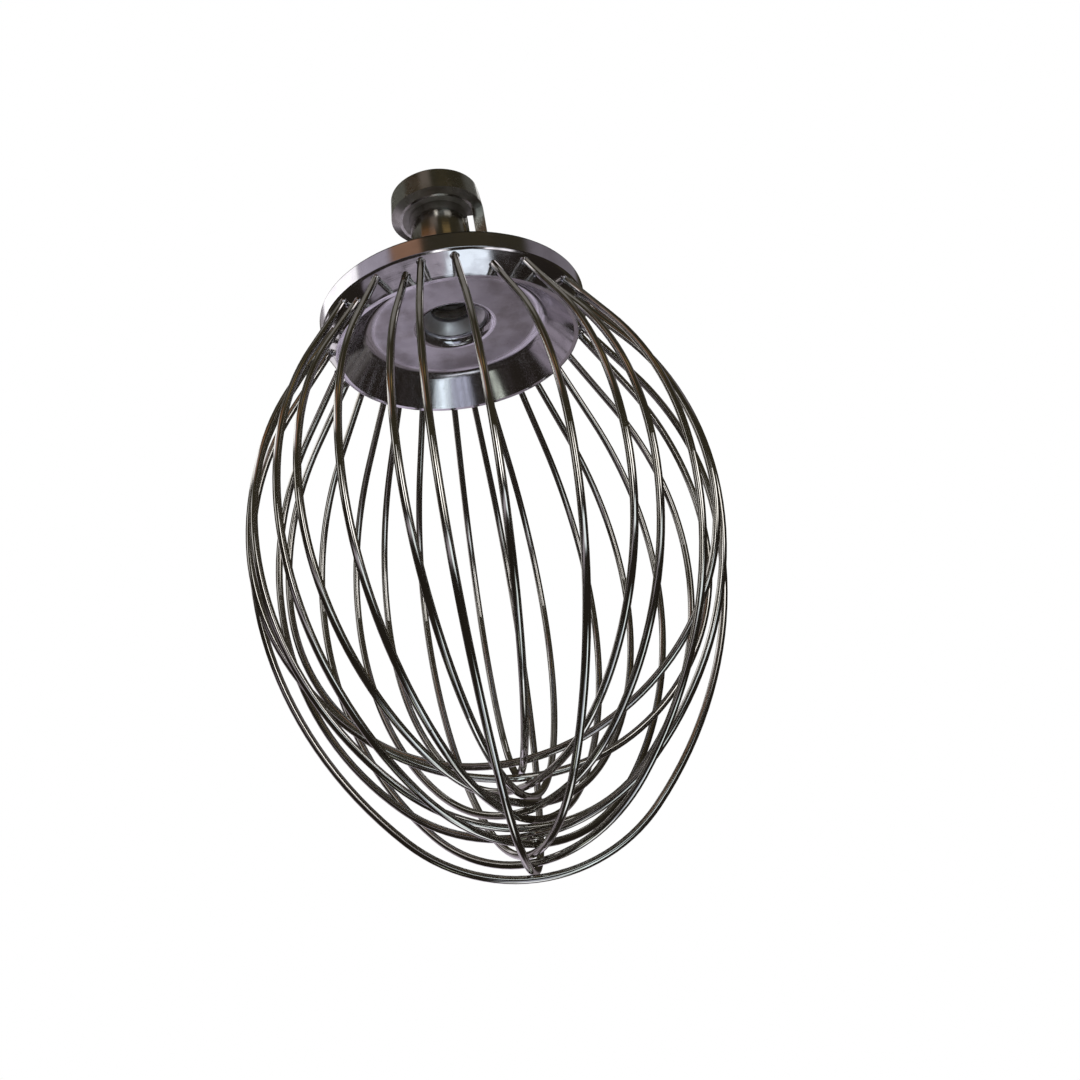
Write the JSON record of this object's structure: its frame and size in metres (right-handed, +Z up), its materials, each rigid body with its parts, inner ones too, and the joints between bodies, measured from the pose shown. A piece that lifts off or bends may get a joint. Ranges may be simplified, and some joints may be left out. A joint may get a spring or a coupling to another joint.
{
  "type": "stand mixer wire whisk",
  "caption": "Balloon whisk for a stand mixer: closed steel wire loops nested under a cupped plate, with a tubular hub and a slotted bayonet collar that locks on the drive shaft.",
  "frame": {"origin": "middle of the mouth of the drive bore, on the top face of the hub", "axes": "+Z up along the drive bore, the way the mixer's shaft leaves the hub; the wire loops hang down along -Z; -Y is the side that the picture was taken from"},
  "size_m": [0.1804, 0.1805, 0.2935],
  "materials": {
    "plate_steel": "turned, satin web and polished rim",
    "hub_steel": "turned and polished",
    "collar_steel": "turned and polished, worn",
    "wire_steel": "drawn wire, polished"
  },
  "bodies": {
    "root": {"bayonet_collar": "collar_steel", "hub_stem": "hub_steel", "wire_loop_01": "wire_steel", "wire_loop_02": "wire_steel", "wire_loop_03": "wire_steel", "wire_loop_04": "wire_steel", "wire_loop_05": "wire_steel", "wire_loop_06": "wire_steel", "wire_loop_07": "wire_steel", "wire_loop_08": "wire_steel", "wire_loop_09": "wire_steel", "wire_loop_10": "wire_steel", "wire_loop_11": "wire_steel", "wire_loop_12": "wire_steel", "wire_loop_13": "wire_steel", "wire_loop_14": "wire_steel", "wire_loop_15": "wire_steel", "wire_plate": "plate_steel"}
  },
  "joints": []
}
